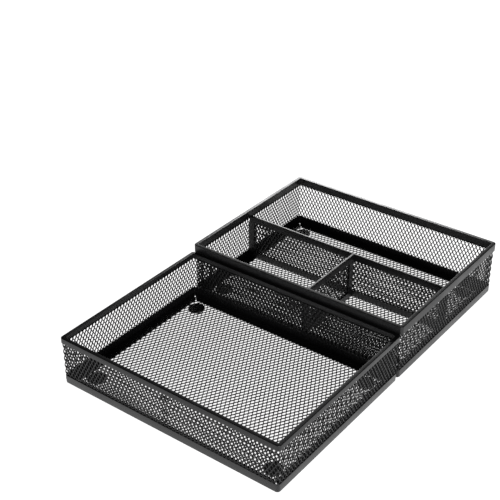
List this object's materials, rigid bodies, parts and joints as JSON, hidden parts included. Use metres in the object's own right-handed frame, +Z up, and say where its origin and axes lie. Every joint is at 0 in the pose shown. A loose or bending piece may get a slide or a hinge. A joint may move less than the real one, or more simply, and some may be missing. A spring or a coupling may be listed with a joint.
{
  "type": "drawer organizer insert",
  "caption": "Mesh drawer organizer: a shallow open tray and a taller tray with dividers, in black coated steel, standing side by side on round feet.",
  "frame": {"origin": "on the surface it stands on, under the middle of the two trays together", "axes": "+X along the trays' width, to the right seen from the shallow tray; +Y from the shallow tray to the divided tray; +Z up"},
  "size_m": [0.2294, 0.3552, 0.055],
  "materials": {
    "coated_strip": "satin black powder coat",
    "expanded_metal": "satin black powder coat on expanded steel mesh",
    "foot_rubber": "matt"
  },
  "bodies": {
    "front_tray": {"front_tray_floor_mesh": "expanded_metal", "front_tray_foot_back_left": "foot_rubber", "front_tray_foot_back_right": "foot_rubber", "front_tray_foot_front_left": "foot_rubber", "front_tray_foot_front_right": "foot_rubber", "front_tray_frame_back": "coated_strip", "front_tray_frame_front": "coated_strip", "front_tray_frame_left": "coated_strip", "front_tray_frame_right": "coated_strip", "front_tray_rim_back": "coated_strip", "front_tray_rim_front": "coated_strip", "front_tray_rim_left": "coated_strip", "front_tray_rim_right": "coated_strip", "front_tray_wall_back": "expanded_metal", "front_tray_wall_front": "expanded_metal", "front_tray_wall_left": "expanded_metal", "front_tray_wall_right": "expanded_metal"},
    "rear_tray": {"cross_divider_back_post": "coated_strip", "cross_divider_bottom_rail": "coated_strip", "cross_divider_front_post": "coated_strip", "cross_divider_mesh": "expanded_metal", "cross_divider_top_rail": "coated_strip", "long_divider_bottom_rail": "coated_strip", "long_divider_left_post": "coated_strip", "long_divider_mesh": "expanded_metal", "long_divider_right_post": "coated_strip", "long_divider_top_rail": "coated_strip", "rear_tray_floor_mesh": "expanded_metal", "rear_tray_foot_back_left": "foot_rubber", "rear_tray_foot_back_right": "foot_rubber", "rear_tray_foot_front_left": "foot_rubber", "rear_tray_foot_front_right": "foot_rubber", "rear_tray_frame_back": "coated_strip", "rear_tray_frame_front": "coated_strip", "rear_tray_frame_left": "coated_strip", "rear_tray_frame_right": "coated_strip", "rear_tray_rim_back": "coated_strip", "rear_tray_rim_front": "coated_strip", "rear_tray_rim_left": "coated_strip", "rear_tray_rim_right": "coated_strip", "rear_tray_wall_back": "expanded_metal", "rear_tray_wall_front": "expanded_metal", "rear_tray_wall_left": "expanded_metal", "rear_tray_wall_right": "expanded_metal"}
  },
  "joints": [
    {"name": "rear_tray_lift", "type": "slide", "parent": "front_tray", "child": "rear_tray", "axis": [0, 0, 1], "range_m": [0, 0.08]}
  ]
}
